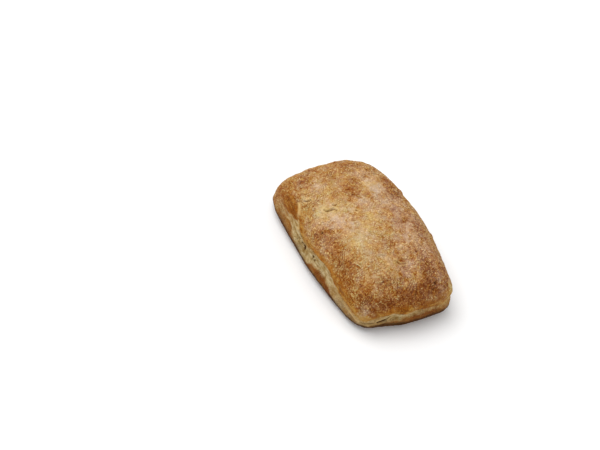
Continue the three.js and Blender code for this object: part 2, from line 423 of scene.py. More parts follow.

# x, y, z and radius in millimetres, change of browning (along the +Y rim partly painted shade),
# change of flour.
PATCHES = [
    # browner; along the +Y rim partly painted shade from a neighbouring roll
    (-51, -43, 21, 10, 0.25, -0.1),
    (-37, -42, 26, 6, 0.24, -0.3),
    (-31, -41, 24, 5, 0.24, -0.3),
    (-30, -37, 34, 3, 0.12, -0.1),
    (-54, -22, 35, 8, 0.06, 0),
    (-46, -30, 38, 4, 0.16, 0.1),
    (-51, 4, 37, 9, 0.18, 0),
    (-35, -4, 42, 6, 0.08, 0),
    (-29, -1, 43, 6, 0.18, -0.1),
    (-24, -3, 44, 5, 0.14, 0),
    (-28, 27, 39, 5, 0.34, 0.1),
    (-19, 31, 38, 5, 0.26, 0.2),
    (-14, 20, 42, 8, 0.16, 0),
    (4, 22, 42, 8, 0.12, 0),
    (17, 12, 43, 5, 0.14, 0),
    (24, 4, 43, 5, 0.14, 0),
    (28, -27, 37, 6, 0.16, -0.1),
    (36, -26, 36, 6, 0.16, 0),
    (49, -14, 37, 6, 0.20, 0),
    (52, -7, 36, 5, 0.12, 0),
    (-5, -35, 34, 5, 0.26, 0),
    (0, -36, 32, 6, 0.18, -0.2),
    (9, -34, 35, 5, 0.18, 0.1),
    (20, -33, 32, 6, 0.20, -0.2),
    (34, -32, 29, 6, 0.20, -0.3),
    (48, -31, 25, 7, 0.18, -0.3),
    (54, -26, 27, 6, 0.24, 0),
    (58, -20, 26, 6, 0.32, -0.1),
    (60, -13, 26, 6, 0.34, -0.1),
    (59, -5, 30, 7, 0.30, 0),
    (61, 4, 30, 7, 0.26, 0),
    (62, 12, 28, 6, 0.24, 0),
    (59, 16, 31, 7, 0.24, 0),
    (55, 25, 33, 9, 0.24, 0.1),
    (63, 27, 26, 7, 0.22, 0.1),
    (45, 6, 39, 6, 0.10, 0.2),
    (43, 22, 39, 8, 0.20, 0),
    (46, 30, 36, 9, 0.18, 0.2),
    (31, 22, 41, 7, 0.10, 0.2),
    (31, 30, 38, 8, 0.18, 0.2),
    (11, 31, 39, 7, 0.18, 0.3),
    (-37, -39, 32, 6, 0.10, 0),
    (-4, -28, 39, 4, 0.12, -0.1),
    (11, -37, 29, 5, 0.09, 0),
    (23, -22, 41, 4, 0.10, 0),
    (44, -24, 35, 7, 0.10, 0),
    (38, 1, 41, 7, 0.08, 0),
    (49, 8, 38, 6, 0.08, 0),
    # painted shade: browner patches along the +Y rim stand for the shade of a neighbouring roll
    (-24, 23, 41, 6, 0.10, 0),
    (4, 24, 42, 5, 0.14, 0),
    (12, 27, 42, 5, 0.14, 0),
    (20, 28, 41, 5, 0.14, 0),
    (29, 30, 40, 5, 0.12, 0),
    (36, 31, 38, 5, 0.14, 0),
    (61, 25, 29, 4, 0.16, -0.4),
    (38, 8, 41, 3, 0.14, 0),
    # paler
    (59, 8, 31, 5, -0.08, 0),
    (58, 24, 31, 6, -0.10, 0),
    (52, -8, 36, 4, -0.08, 0),
    (16, -16, 44, 7, -0.30, 0),
    (27, -19, 42, 6, -0.22, 0),
    (8, -9, 44, 8, -0.20, 0),
    (-2, -2, 45, 7, -0.24, 0),
    (-12, -14, 44, 6, -0.14, 0.1),
    (-24, 15, 43, 7, -0.26, 0.4),
    (-15, -24, 42, 6, -0.34, 0),
    (-17, -30, 39, 5, -0.30, 0.1),
    (-24, -37, 34, 5, -0.22, -0.3),
    (39, -21, 38, 7, -0.16, 0),
    (48, -18, 36, 6, -0.16, 0),
    (40, -2, 41, 6, -0.22, 0),
    (19, 8, 44, 6, -0.10, 0),
    (63, 36, 20, 5, -0.22, -0.3),
    (60, 37, 24, 4, -0.20, -0.3),
    # floury
    (-8, -25, 41, 5, -0.10, 0.7),
    (-3, -27, 41, 5, -0.02, 0.5),
    (34, 2, 42, 12, 0.00, 0.25),
    (-8, -34, 36, 4, 0.00, 0.5),
    (5, -36, 33, 6, 0.00, 0.5),
    (-36, 13, 42, 6, 0.00, 0.4),
    (-15, 18, 43, 7, -0.06, 0.5),
    (-2, 20, 43, 7, 0.04, 0.4),
    (14, 27, 41, 7, 0.00, 0.4),
    (57, -26, 20, 5, 0.00, 0.45),
    (57, -25, 25, 4, 0.00, 0.3),
    (-37, -25, 41, 5, -0.05, 0.4),
    (-32, -34, 36, 3, -0.20, 0.6),
    (-46, -44, 12, 3, -0.25, 0.3),
    (-1, -18, 43, 6, 0.04, 0.5),
    (3, -21, 42, 5, 0.04, 0.4),
    (12, -11, 44, 6, 0.04, 0.3),
    (-13, -1, 44, 6, 0.04, 0.4),
    (-35, 11, 42, 6, 0.04, 0.4),
    (-2, 4, 45, 6, 0.03, 0.3),
    (-10, 15, 43, 6, 0.03, 0.3),
    (10, 18, 43, 8, 0.03, 0.5),
    (26, 17, 43, 7, 0.04, 0.5),
    (45, 10, 39, 6, 0.02, 0.4),
    (-18.6, -23.2, 42.4, 3, 0.12, 0.4),
    (4, 25, 42, 5, 0.04, 0.5),
    (20, 25, 42, 5, 0.04, 0.6),
    (38, 25, 40, 5, 0.04, 0.5),
    (53, 26, 35, 5, 0.00, 0.4),
    (61, 28, 28, 5, 0.00, 0.4),
    (-10, 26, 41, 5, 0.04, 0.4),
    # the band above the crumb and the lip below it
    (40, -34, 12, 5, 0.30, 0),
    (46, -33, 12, 5, 0.25, 0),
    (35, -35, 14, 4, 0.25, 0),
    (40, -34, 17, 5, -0.30, 0),
    (48, -32, 15, 5, -0.30, 0),
    (55, -29, 13, 4, -0.30, 0),
    (60, -24, 13, 4, -0.30, 0),
    (64, -1, 23, 4, 0.20, -0.2),
    (64, -1, 18, 3, 0.30, -0.2),
    (65, 4, 22, 4, 0.20, -0.2),
    (65, 14, 20, 3, 0.20, -0.2),
    (19, -40, 11, 3, 0.35, -0.3),
    (23, -39, 10, 4, 0.40, -0.3),
    (28, -38, 9, 3, 0.35, -0.3),
    (3, -42, 9, 3, 0.35, -0.3),
    (10, -41, 11, 3, 0.40, -0.3),
    (14, -41, 10, 3, 0.30, -0.3),
    (67, 9, 12, 3, 0.40, -0.3),
    (67, 14, 12, 4, 0.45, -0.3),
    (67, 20, 12, 4, 0.40, -0.3),
    (66, 25, 11, 4, 0.30, -0.3),
    (49, -32, 8, 3, 0.15, 0),
    (52, -31, 7, 3, 0.15, 0),
]

# Thin raised folds: the points that each follows, its width and its height.
FOLDS = [
    ([(31.5, -35, 14.5), (36.6, -34, 12.7), (42.5, -32.7, 11.6), (48.3, -31.4, 10.9),
      (54.1, -29, 8.5), (57.6, -26.9, 7.4), (60.6, -22.8, 7.2)], 1.4, 0.5),
    ([(-31.7, -38.6, 33), (-28.4, -39.5, 32), (-26, -40.4, 30.5), (-24, -41.2, 26.4),
      (-20.5, -41.5, 19)], 2.2, 0.5),
    ([(-34.8, -35.4, 35.8), (-32.4, -35.2, 36), (-31, -33.6, 37.2), (-31, -31.4, 38.2)], 1.5, 0.6),
]

# Open splits of the crust: the points that each follows, its width and its depth.
SPLITS = [
    ([(-16.6, -27.4, 40.4), (-15.2, -26.2, 40.6), (-14.4, -24.8, 41), (-14.5, -22.4, 41.6),
      (-14.1, -21.1, 42), (-12.1, -20.1, 42.4)], 1.3, 0.85),
    ([(-12.4, -21.4, 42.2), (-12.6, -19.6, 42.5)], 0.9, 0.5),
    ([(-17.6, -21.2, 42.6), (-16.2, -20, 42.9), (-17.2, -18.4, 43)], 0.9, 0.8),
    ([(-7.8, -9, 44.6), (-7, -6.6, 44.7)], 0.9, 0.7),
    ([(-30.8, -35.6, 35.7), (-29.2, -33.7, 37), (-29.2, -31.6, 38.3)], 0.9, 0.8),
    ([(37, 1.5, 42.2), (40.5, 4, 41.4), (41, 8, 41.2)], 0.9, 0.5),
    ([(57.5, -26.6, 8.4), (59, -25, 8.4), (61.2, -21.2, 9.4), (62, -17, 10.3)], 0.8, 0.6),
    ([(62, -17.5, 10), (62.2, -14, 10.4), (62.3, -11.3, 11), (62.8, -8.4, 14)], 1.2, 1.1),
]

# Round pits, with painted shade inside: the middle, the radius and the depth.
PITS = [
    ((-2.6, -34.2, 35.2), 0.9, 1.0),
    ((56.2, 24.6, 32), 1.0, 1.0),
    ((60, 22.2, 29.7), 0.9, 0.7),
    ((60.6, 8.2, 30), 0.9, 0.7),
    ((-12.5, -41, 12.3), 1.2, 0.9),
    ((-9.6, -40.8, 12.4), 1.2, 1.4),
    ((-8.9, -40.8, 10.6), 1.2, 1.4),
    ((2.1, -39.6, 16.2), 1.1, 1.4),
    ((5.3, -39.7, 15.2), 1.0, 0.9),
    ((-21, -4, 43.8), 0.9, 0.5),
    ((31, 24, 41.5), 1.0, 0.6),
    ((-44, 27, 36), 1.1, 0.7),
    ((26, 46, 17), 1.2, 1.0),
    ((11, 46, 15), 1.0, 1.2),
    ((8, 46, 16.5), 1.3, 1.4),
    ((-7, 45, 14), 1.1, 1.0),
    ((-19, 43, 17), 1.4, 1.3),
    ((-28, 42, 12), 1.0, 0.9),
]

# Large blisters: the middle, the radius and the height.
BLISTERS = [
    ((17, 44, 27), 3.2, 0.6),
    ((-24, 40, 28), 3.6, 0.7),
    ((-60, 12, 30), 3.4, 0.6),
    ((-62, -18, 24), 2.8, 0.5),
    ((-18.6, -24, 42.2), 2.6, 0.7),
    ((-40, -30, 37), 3.4, 0.6),
    ((35, -4, 42.6), 3.0, 0.5),
    ((-24, 30, 38), 3.6, 0.7),
    ((40, 28, 38), 3.2, 0.6),
    ((12, 34, 38), 2.4, 0.5),
]


# ---- Cells and the roll before its fine relief ---------------------

class Cells:
    """The quads of a box's surface, and for each corner its place on the box."""

    def __init__(self):
        long_side = np.linspace(-1, 1, CELLS_LONG + 1)
        wide_side = np.linspace(-1, 1, CELLS_WIDE + 1)
        self.rows = ROWS_LIP + ROWS_STRIP + ROWS_CRUST
        count = (CELLS_LONG + 1) * (CELLS_WIDE + 1)
        cap = np.arange(count).reshape(CELLS_LONG + 1, CELLS_WIDE + 1)
        base, top = cap, cap + count
        u, v = np.meshgrid(long_side, wide_side, indexing="ij")
        rim = self.around(u), self.around(v)
        around = len(rim[0])
        middle = 2 * count + np.arange((self.rows - 1) * around).reshape(-1, around)
        rings = [self.around(base), *middle, self.around(top)]
        row = np.repeat(np.arange(1, self.rows), around)
        self.u = np.concatenate([u.ravel(), u.ravel(), np.tile(rim[0], self.rows - 1)])
        self.v = np.concatenate([v.ravel(), v.ravel(), np.tile(rim[1], self.rows - 1)])
        self.row = np.concatenate([np.zeros(count), np.full(count, self.rows), row])
        self.on_base = np.arange(len(self.u)) < count
        self.on_top = (np.arange(len(self.u)) >= count) & (np.arange(len(self.u)) < 2 * count)
        self.quads = np.concatenate([
            self.cap_quads(top),
            self.cap_quads(base)[:, ::-1],
            *[self.band_quads(low, high) for low, high in zip(rings, rings[1:])],
        ])

    @staticmethod
    def around(cap):
        """The edge of a cap, once round, anticlockwise from above."""
        return np.concatenate([cap[:-1, 0], cap[-1, :-1], cap[:0:-1, -1], cap[0, :0:-1]])

    @staticmethod
    def cap_quads(cap):
        corners = cap[:-1, :-1], cap[1:, :-1], cap[1:, 1:], cap[:-1, 1:]
        return np.stack([corner.ravel() for corner in corners], -1)

    @staticmethod
    def band_quads(low, high):
        return np.stack([low, np.roll(low, -1), np.roll(high, -1), high], -1)


def normals_of(points, quads):
    """Unit normals of the points, each from the faces round it."""
    corners = points[quads]
    face = np.cross(corners[:, 2] - corners[:, 0], corners[:, 3] - corners[:, 1])
    total = np.zeros_like(points)
    for k in range(4):
        np.add.at(total, quads[:, k], face)
    return total / np.linalg.norm(total, axis=1, keepdims=True)


def row_height(row, lip, edge):
    """Height of a side row. Whole rows follow the two edges of the strip round the roll."""
    low = lip * (np.clip(row, 0, ROWS_LIP) / ROWS_LIP) ** LIP_ROW_SPACING
    middle = mix(lip, edge, (row - ROWS_LIP) / ROWS_STRIP)
    high = mix(edge, RIM_HEIGHT, (row - ROWS_LIP - ROWS_STRIP) / ROWS_CRUST)
    return np.where(row <= ROWS_LIP, low, np.where(row <= ROWS_LIP + ROWS_STRIP, middle, high))


class SmoothRoll:
    """The roll before its fine relief: its points, and for each its bearing, height and strip."""

    def __init__(self, cells):
        ring = np.where(
            cells.on_top | cells.on_base, np.maximum(np.abs(cells.u), np.abs(cells.v)), 1.0
        )
        safe = np.where(ring > 0, ring, 1.0)
        u = np.where(ring > 0, cells.u / safe, 1.0)
        v = cells.v / safe
        self.bearing = np.degrees(np.arctan2(v, u))
        self.lip, self.edge, self.depth = stations_at(STRIP_STATIONS, self.bearing)
        outline_x, outline_y = plan_outline(*rounded_square(u, v, CORNER_POWER))
        foot = np.stack([outline_x, outline_y, np.zeros_like(u)], -1)
        torn = np.clip(self.depth, 0.0, 1.0)
        self.lip += torn * fractal(foot, 9.0, 2, 401) * LIP_WANDER
        self.edge += torn * fractal(foot, 7.0, 3, 433) * EDGE_WANDER

        height = row_height(cells.row, self.lip, self.edge)
        reach = reach_at(height)
        top_reach = reach_at(np.float64(RIM_HEIGHT)) * ring
        reach = np.where(cells.on_top, top_reach, reach)
        reach = np.where(cells.on_base, reach_at(np.float64(0.0)) * ring, reach)
        height = np.where(cells.on_top, height_at(reach), height)
        height = np.where(cells.on_base, 0.0, height)
        power = mix(CROWN_POWER, CORNER_POWER, smooth(reach, 0.0, CROWN_BLEND_REACH))
        x, y = plan_outline(*rounded_square(u, v, power))
        relief = side_relief(height, self.bearing, self.lip, self.edge, self.depth)
        relief = np.where(cells.on_base & (ring < 1.0), 0.0, relief)
        outward = reach * (1.0 + relief / np.hypot(x, y))
        lift = crown_relief(x * reach, y * reach) * smooth(height, BELLY_HEIGHT, HEIGHT)
        self.height = height
        self.points = np.stack([x * outward, y * outward, height + lift], -1)
        middle = (self.points.min(0) + self.points.max(0)) / 2.0
        self.points -= [middle[0], middle[1], 0.0]


def distance_to_line(points, line):
    """Distance to a line of straight stretches, and where the nearest point lies, 0 to 1."""
    nearest = np.full(len(points), np.inf)
    place = np.zeros(len(points))
    line = np.array(line, float)
    for k, (start, end) in enumerate(zip(line, line[1:])):
        along = end - start
        share = np.clip((points - start) @ along / (along @ along), 0.0, 1.0)
        distance = np.linalg.norm(points - start - share[:, None] * along, axis=-1)
        closer = distance < nearest
        nearest = np.where(closer, distance, nearest)
        place = np.where(closer, (k + share) / (len(line) - 1), place)
    return nearest, place


def on_surface(points, spots):
    """The spots, each moved to the nearest point of the surface."""
    spots = np.array(spots, float)
    return [points[np.argmin(np.linalg.norm(points - spot, axis=1))] for spot in spots]


# ---- Masks ---------------------------------------------------------

def strip_masks(roll):
    """How far a point is torn crumb, golden band above it, and brown lip below it."""
    points, height = roll.points, roll.height
    low, high, plain = stations_at(CRUMB_STATIONS, roll.bearing)
    frayed = height + CRUMB_FRAY * fractal(points, 4.0, 3, 57)
    starts = across(frayed, low, CRUMB_LOW_FADE)
    ends = across(frayed, high, CRUMB_HIGH_FADE)
    crumb = starts * (1.0 - ends) * plain
    band_top = roll.edge + BAND_ABOVE_EDGE + BAND_WANDER * fractal(points, 5.0, 2, 61)
    band = ends * (1.0 - across(height, band_top, BAND_TOP_FADE)) * smooth(plain, 0.0, 0.5)
    foot = (1.0 - starts) * smooth(plain, 0.0, 0.3)
    return crumb, band, foot


def patch_sums(points):
    """Change of brownness, partly painted shade, and of flour that the patches add up to, with
    wandering edges.
    """
    browning_and_shade = np.zeros(len(points))
    flour = np.zeros(len(points))
    wander = np.stack([fractal(points, 6.0, 2, seed) for seed in (71, 83, 97)], -1)
    points = points + PATCH_WANDER * wander
    for x, y, z, radius, brown, dusted in PATCHES:
        near = bell(np.linalg.norm(points - [x, y, z], axis=-1), radius)
        browning_and_shade += brown * near
        flour += dusted * near
    return browning_and_shade, flour


def scorched_and_shaded_foot(roll):
    """How much the foot is darkened, by baking and by painted contact shade: most in a line near
    its top, and less below that.
    """
    (foot_top,) = stations_at(FOOT_STATIONS, roll.bearing)
    foot_top += FOOT_WANDER * fractal(roll.points, 5.0, 2, 367)
    line = bell(roll.height - foot_top + SCORCH_SHADE_BELOW_TOP, SCORCH_SHADE_SPREAD)
    below = 1.0 - smooth(roll.height, foot_top - FOOT_FADE, foot_top)
    return np.clip(line + 0.45 * below, 0.0, 1.0)


# ---- Fine relief, in millimetres -----------------------------------

# Lump size, seed and height of the crust's swells, from broad to fine.
CRUST_SWELLS = [(11.0, 211, 0.30), (4.2, 223, 0.22), (2.0, 239, 0.17)]
# Creases run where a noise crosses 0, and their width is a share of its swing.
CREASE_SIZE = 3.4
CREASE_DEPTH = 0.20
CREASE_WIDTH = 0.10

# Spacing, radii and heights in millimetres, share of the places left empty, seed.
SMALL_BLISTERS = Strewn(8.0, (1.0, 2.3), (0.45, 0.45), 0.55, 263)
SMALL_PITS = Strewn(4.5, (0.7, 0.7), (0.45, 0.45), 0.62, 277)
CRUST_DOTS = Strewn(5.0, (0.4, 0.8), (1.0, 1.0), 0.86, 379)
CRUMB_PORES = Strewn(3.2, (0.75, 0.75), (0.4, 1.1), 0.5, 317)
BASE_PITS = Strewn(6.0, (1.0, 1.0), (0.5, 0.5), 0.6, 337)
DOT_DEPTH = 0.4

STRAND_HEIGHT = 0.40
STRAND_STRETCH = (0.35, 0.35, 1.0)
CRUMB_ROUGHNESS = 0.16
PORE_STRETCH = (0.6, 0.6, 1.0)
BASE_DIMPLE_DEPTH = 0.9

SPLIT_RIM_HEIGHT = 0.3
SPLIT_RIM_PALENESS = 0.55
PIT_STRETCH = (1.0, 1.0, 0.8)

# By how much the crust's relief is weaker on the band and on the lip.
BAND_CALM = 0.6
LIP_CALM = 0.4

HOLLOW_DEPTH = 0.5
# The foot's relief grows from nothing at the floor, and the middle of the base rests on it.
FLOOR_CLEARANCE = 2.0
BASE_REST_RADIUS = 12.0
# The underside's looks and dimples end here, as shares of the way to the edge of the base.
BASE_EDGE = (0.86, 0.96)
BASE_EDGE_FRAY = 0.04


def crust_relief(points):
    """Swells, creases, blisters and pits of the browned crust."""
    relief = np.zeros(len(points))
    for size, seed, height in CRUST_SWELLS:
        relief += height * fractal(points, size, 2, seed)
    crease = np.abs(fractal(points, CREASE_SIZE, 2, 251))
    relief -= CREASE_DEPTH * bell(crease, CREASE_WIDTH)
    away, height = SMALL_BLISTERS.nearest(points)
    relief += height * dome(away)
    away, depth = SMALL_PITS.nearest(points)
    return relief - depth * bell(away, 1.0)


def crust_dots(points):
    """1 in the middle of small holes here and there in the crust, where painted shade is laid."""
    away, shown = CRUST_DOTS.nearest(points)
    return shown * bell(away, 1.0)


def crumb_relief(points):
    """Stretched strands and open pores of the torn crumb."""
    relief = STRAND_HEIGHT * fractal(points * STRAND_STRETCH, 2.2, 2, 307)
    relief += CRUMB_ROUGHNESS * fractal(points, 1.8, 2, 311)
    away, depth = CRUMB_PORES.nearest(points * PORE_STRETCH)
    return relief - depth * bell(away, 1.0)


def base_relief(points):
    """Dimples and pits of the floury underside, all of them hollows."""
    dimples = np.clip(fractal(points, 7.0, 3, 331) + 0.1, 0.0, 1.0)
    away, depth = BASE_PITS.nearest(points)
    return BASE_DIMPLE_DEPTH * dimples + depth * bell(away, 1.0)


def open_splits(points):
    """Depth of the open splits, the height of their rims, and how pale those are."""
    deep = np.zeros(len(points))
    raised = np.zeros(len(points))
    pale = np.zeros(len(points))
    wobble = 1.0 + 0.35 * noise(points, 1.3, 347)
    for line, width, depth in SPLITS:
        distance, place = distance_to_line(points, on_surface(points, line))
        taper = np.sqrt(np.clip(4.0 * place * (1.0 - place), 0.12, 1.0))
        deep = np.maximum(deep, depth * bell(distance, width / 2.0 * wobble * taper))
        rim = bell(distance - width, width / 2.0)
        raised += SPLIT_RIM_HEIGHT * rim
        pale = np.maximum(pale, SPLIT_RIM_PALENESS * rim)
    return deep, raised, pale


def round_pits(points):
    """Depth of the round pits."""
    deep = np.zeros(len(points))
    for middle, radius, depth in PITS:
        (middle,) = on_surface(points, [middle])
        distance = np.linalg.norm((points - middle) * PIT_STRETCH, axis=-1)
        deep = np.maximum(deep, depth * bell(distance, radius * 0.8))
    return deep


def thin_folds(points):
    """Height of the thin folds, and how far each point is part of one."""
    raised = np.zeros(len(points))
    folded = np.zeros(len(points))
    wobble = 1.0 + 0.3 * noise(points, 2.0, 353)
    for line, width, height in FOLDS:
        distance, _ = distance_to_line(points, on_surface(points, line))
        fold = bell(distance, width / 2.0 * wobble)
        raised += height * fold
        folded = np.maximum(folded, fold)
    return raised, folded


def large_blisters(points):
    """Height of the large blisters."""
    raised = np.zeros(len(points))
    for middle, radius, height in BLISTERS:
        (middle,) = on_surface(points, [middle])
        raised += height * dome(np.linalg.norm(points - middle, axis=-1) / radius)
    return raised


def base_share(cells, points):
    """1 over most of the base, 0 at its edge, so that the foot still meets the floor."""
    ring = np.maximum(np.abs(cells.u), np.abs(cells.v))
    frayed = ring + BASE_EDGE_FRAY * fractal(points, 9.0, 3, 389)
    return cells.on_base * (1.0 - smooth(frayed, *BASE_EDGE))


def shape_roll():
    """Points, quads and masks of the finished roll."""
    cells = Cells()
    roll = SmoothRoll(cells)
    points = roll.points
    normals = normals_of(points, cells.quads)
    crumb, band, foot = strip_masks(roll)
    browning_and_shade, flour = patch_sums(points)
    bare_base = base_share(cells, points)
    under = smooth(-normals[:, 2], 0.5, 0.85) * bare_base
    crust = (1.0 - crumb) * (1.0 - under)

    calm = 1.0 - BAND_CALM * band - LIP_CALM * foot
    relief = crust * calm * crust_relief(points) + crumb * crumb_relief(points)
    hollow = np.clip(-relief / HOLLOW_DEPTH, 0.0, 1.0)
    splits, rims, pale_rims = open_splits(points)
    pits = round_pits(points)
    folds, folded = thin_folds(points)
    dots = crust * (1.0 - band) * (1.0 - foot) * crust_dots(points)
    relief += rims + folds + large_blisters(points)
    relief -= splits + pits + DOT_DEPTH * dots

    relief *= np.where(cells.on_base, 0.0, smooth(points[:, 2], 0.0, FLOOR_CLEARANCE))
    shaped = points + normals * relief[:, None]
    off_middle = smooth(np.hypot(*points[:, :2].T), 0.0, BASE_REST_RADIUS)
    dimples = base_relief(points) * off_middle * bare_base
    shaped[:, 2] = np.maximum(shaped[:, 2], 0.0) + dimples

    from_middle = np.hypot(points[:, 0] / WRINKLED_LENGTH, points[:, 1] / WRINKLED_WIDTH)
    masks = {
        # brownness, with painted shade along the +Y rim
        "browning_and_shade": 0.5 + BROWNING_SWING * np.tanh(browning_and_shade / BROWNING_SWING),
        "flour": np.clip(FLOUR_ALL_OVER + FLOUR_GAIN * flour, 0.0, 1.0),
        "crumb": crumb,
        "band": band,
        "foot": foot * (1.0 - under),
        "pale": np.maximum(pale_rims, folded),
        "under": under,
        # how far the relief sinks, where the material paints shade
        "hollow": hollow,
        # painted shade inside the splits, pits and holes
        "opening_shade": np.clip(0.95 * splits + 1.3 * pits + 0.6 * dots, 0.0, 1.0),
        # Scorched foot, with painted contact shade where it meets the floor.
        "scorch_and_contact_shade": scorched_and_shaded_foot(roll),
        "wrinkled": smooth(from_middle, 0.45, 0.85),
    }
    return shaped, cells.quads, masks


def fitted(points):
    """The points moved and, where they would stand out, shrunk into the solid roll's box."""
    low, high = (np.array(corner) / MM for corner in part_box(NODE))
    own_low, own_high = points.min(0), points.max(0)
    points = points - [*((own_low + own_high) / 2.0)[:2], own_low[2]]
    room = (high - low) / (own_high - own_low)
    points *= np.minimum(room, 1.0)
    return points + [*((low + high) / 2.0)[:2], low[2]]


def make_mesh(name, points, quads, masks):
    """A smooth mesh of the quads, with each mask as an attribute of its points."""
    mesh = bpy.data.meshes.new(name)
    mesh.from_pydata((points * MM).tolist(), [], quads.tolist())
    for mask, values in masks.items():
        layer = mesh.attributes.new(mask, "FLOAT", "POINT")
        layer.data.foreach_set("value", values.astype(np.float32))
    mesh.shade_smooth()
    mesh.update()
    piece = bpy.data.objects.new(name, mesh)
    bpy.context.scene.collection.objects.link(piece)
    return piece


# ---- Materials -----------------------------------------------------

def colour(red, green, blue):
    """A colour in screen numbers, 0 to 255, as the shaders want it."""
    parts = [value / 255.0 for value in (red, green, blue)]
    return [*[((part + 0.055) / 1.055) ** 2.4 for part in parts], 1.0]


class Material:
    """A node material, whose methods add nodes and return the last one's output."""

    def __init__(self, name):
        self.material = bpy.data.materials.new(name)
        self.material.use_nodes = True
        self.nodes = self.material.node_tree.nodes
        self.links = self.material.node_tree.links
        self.nodes.clear()

    def add(self, kind, inputs=(), **settings):
        node = self.nodes.new("ShaderNode" + kind)
        for name, value in settings.items():
            setattr(node, name, value)
        for socket, value in dict(inputs).items():
            if isinstance(value, bpy.types.NodeSocket):
                self.links.new(value, node.inputs[socket])
            else:
                node.inputs[socket].default_value = value
        return node

    def mask(self, name):
        return self.add("Attribute", attribute_name=name).outputs["Fac"]

    def maths(self, operation, first, second=0.0):
        return self.add("Math", {0: first, 1: second}, operation=operation).outputs["Value"]

    def times(self, first, second):
        return self.maths("MULTIPLY", first, second)

    def spread(self, value, low, high, to_low=0.0, to_high=1.0):
        """The value's stretch from low to high made to run from to_low to to_high, clamped."""
        inputs = {
            "Value": value,
            "From Min": low,
            "From Max": high,
            "To Min": to_low,
            "To Max": to_high,
        }
        return self.add("MapRange", inputs, clamp=True).outputs["Result"]

    def bell(self, value, middle, width):
        """1 where the value is at the middle, falling evenly to 0 over the width."""
        away = self.maths("ABSOLUTE", self.maths("SUBTRACT", value, middle))
        return self.spread(away, 0.0, width, 1.0, 0.0)

    def total(self, *values):
        result = values[0]
        for value in values[1:]:
            result = self.maths("ADD", result, value)
        return result

    def ramp(self, value, stops):
        node = self.add("ValToRGB", {"Fac": value})
        elements = node.color_ramp.elements
        while len(elements) < len(stops):
            elements.new(0.5)
        for element, (place, tint) in zip(elements, stops):
            element.position = place
            element.color = tint
        return node.outputs["Color"]

    def blend(self, share, first, second, kind="MIX"):
        inputs = {"Factor": share, 6: first, 7: second}
        node = self.add("Mix", inputs, data_type="RGBA", blend_type=kind)
        return node.outputs[2]

    def bump(self, height, distance_mm):
        inputs = {"Height": height, "Distance": distance_mm * MM, "Strength": 1.0}
        return self.add("Bump", inputs).outputs["Normal"]

    def finish(self, inputs):
        shader = self.add("BsdfPrincipled", inputs)
        self.add("OutputMaterial", {"Surface": shader.outputs["BSDF"]})
        return self.material


CRUST_STOPS = [
    (0.00, colour(206, 186, 136)),
    (0.22, colour(190, 160, 102)),
    (0.48, colour(167, 122, 62)),
    (0.70, colour(146, 88, 30)),
    (0.86, colour(124, 64, 15)),
    (1.00, colour(106, 50, 9)),
]
BAND_STOPS = [
    (0.00, colour(130, 72, 14)),
    (0.50, colour(158, 102, 30)),
    (1.00, colour(178, 134, 64)),
]
CRUMB_STOPS = [
    (0.00, colour(144, 110, 56)),
    (0.35, colour(170, 142, 92)),
    (0.65, colour(188, 164, 118)),
    (1.00, colour(204, 184, 142)),
]
FLOUR = colour(202, 176, 154)
SPECK = colour(246, 208, 160)
ORANGE = colour(254, 240, 206)
HAZE = colour(238, 242, 255)
LIP = colour(120, 70, 22)
# The toasted and scorched foot: partly baked colour, partly painted contact shade.
TOASTED_AND_SHADE = colour(80, 43, 13)
SCORCHED_AND_SHADE = colour(58, 32, 10)
# Painted shade in the crumb's pores.
PORE_SHADE = colour(150, 112, 60)
UNDER = colour(178, 143, 100)
PALE_FOLD = colour(208, 176, 118)
# Inside the openings: golden crust colour with painted shade, and deeper painted shade at their
# middles.
OPENING_GOLD_AND_SHADE = colour(152, 119, 30)
DEEP_SHADE = colour(70, 31, 3)

# How far each layer hides what lies under it, from 0 to 1.
BAND_COVER = 0.92
LIP_COVER = 0.5
TOASTED_AND_SHADE_COVER = 0.5
PORE_SHADE_COVER = 0.45
PALE_FOLD_COVER = 0.8
SCORCHED_AND_SHADE_COVER = 0.8

# Share of the crust's flour that the band and the lip lack.
STRIP_FLOUR_LOSS = 0.90

# The crust's fine wrinkles: how far apart, in millimetres, and across which direction. The
# sway is how far, in radians, broad and fine noise move them.
WRINKLE_SPACING = 2.9
WRINKLE_AXIS = (0.7, 0.7, 0.15)
WRINKLE_BROAD_SWAY = 36.0
WRINKLE_FINE_SWAY = 2.6

GRAIN_HEIGHT_MM = 0.8
SPECULAR = 0.05


